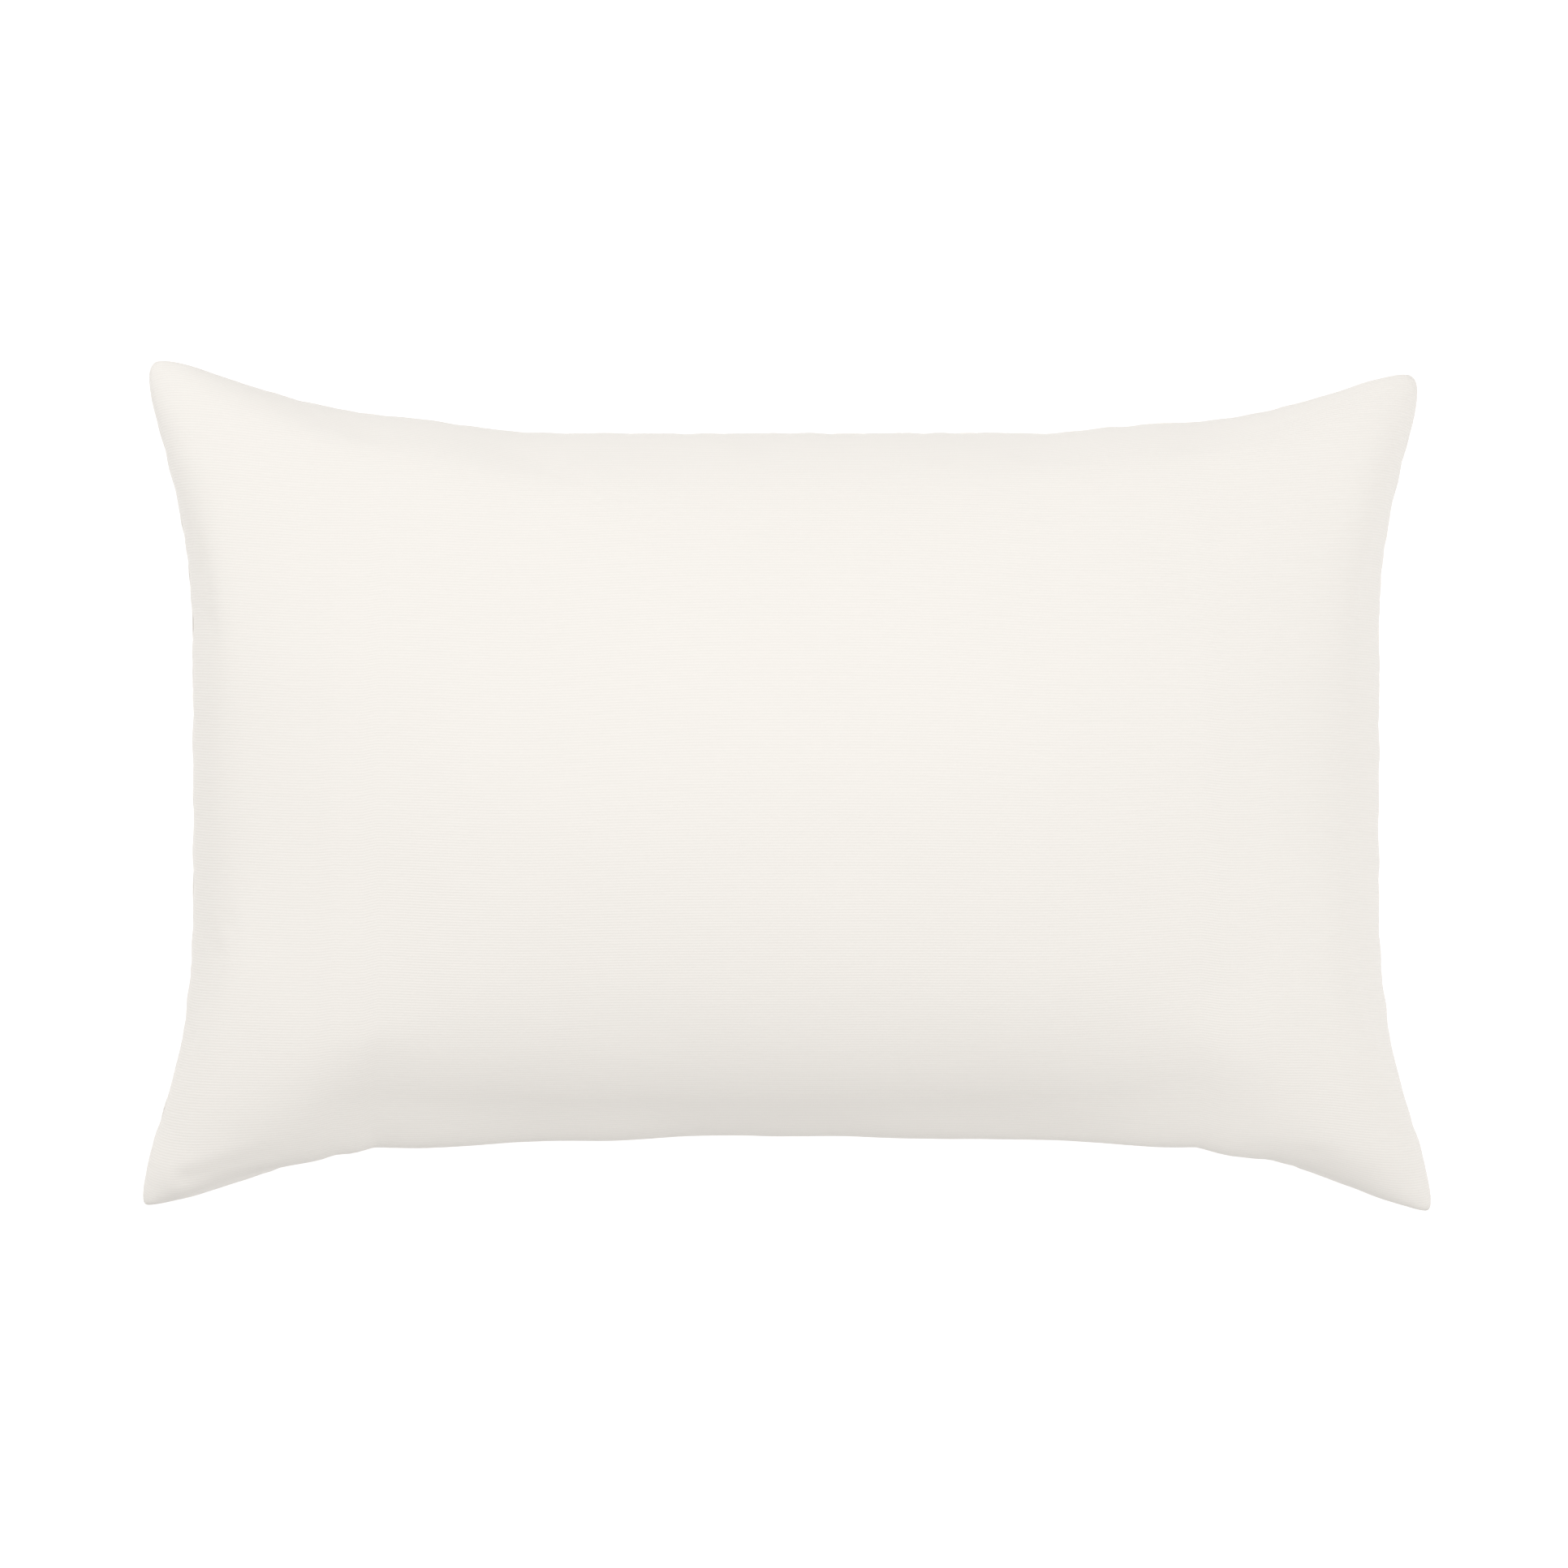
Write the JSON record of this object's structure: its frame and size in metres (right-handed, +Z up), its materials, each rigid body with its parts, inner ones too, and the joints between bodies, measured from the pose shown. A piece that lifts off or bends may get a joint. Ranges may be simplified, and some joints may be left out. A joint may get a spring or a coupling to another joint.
{
  "type": "bed pillow",
  "caption": "Oblong knife-edge bed pillow: removable ribbed cotton cover with a concealed zip in one long seam, over a fibre-filled ticking insert.",
  "frame": {"origin": "centre of the footprint, on the surface that the pillow lies on", "axes": "+X along the long side, +Y across it away from the zipped seam, +Z up through the front panel"},
  "size_m": [0.758, 0.5, 0.1985],
  "materials": {
    "cover_cloth": "matte off-white cotton with a fine crosswise rib",
    "cover_thread": "spun polyester sewing thread",
    "label_satin": "blank woven satin tab",
    "zip_tape": "woven herringbone tape",
    "zip_nylon": "dyed nylon monofilament",
    "zip_enamel": "off-white enamel on die-cast zinc",
    "ticking": "smooth close-woven cotton ticking",
    "insert_thread": "polyester sewing thread",
    "fibre": "lofty siliconised polyester fibre"
  },
  "bodies": {
    "pillow": {"cover_front_panel": "cover_cloth", "cover_back_panel": "cover_cloth", "cover_seam_thread": "cover_thread", "care_label": "label_satin", "zip_tape_front": "zip_tape", "zip_tape_back": "zip_tape", "zip_coil_front": "zip_nylon", "zip_coil_back": "zip_nylon", "zip_top_stops": "zip_nylon", "zip_bottom_stop": "zip_nylon", "zip_stitching": "cover_thread", "insert_front_panel": "ticking", "insert_back_panel": "ticking", "insert_seam_thread": "insert_thread", "insert_closing_stitch": "insert_thread", "insert_label": "label_satin", "fibre_fill": "fibre"},
    "slider": {"zip_slider": "zip_enamel"},
    "pull": {"zip_pull": "zip_enamel"}
  },
  "joints": [
    {"name": "zip_slide", "type": "slide", "parent": "pillow", "child": "slider", "axis": [-1, 0, 0], "range_m": [0, 0.43]},
    {"name": "pull_swing", "type": "hinge", "parent": "slider", "child": "pull", "pos_m": [0.215, -0.2058, 0.086], "axis": [0, 0, 1], "range_deg": [0, 180]}
  ]
}
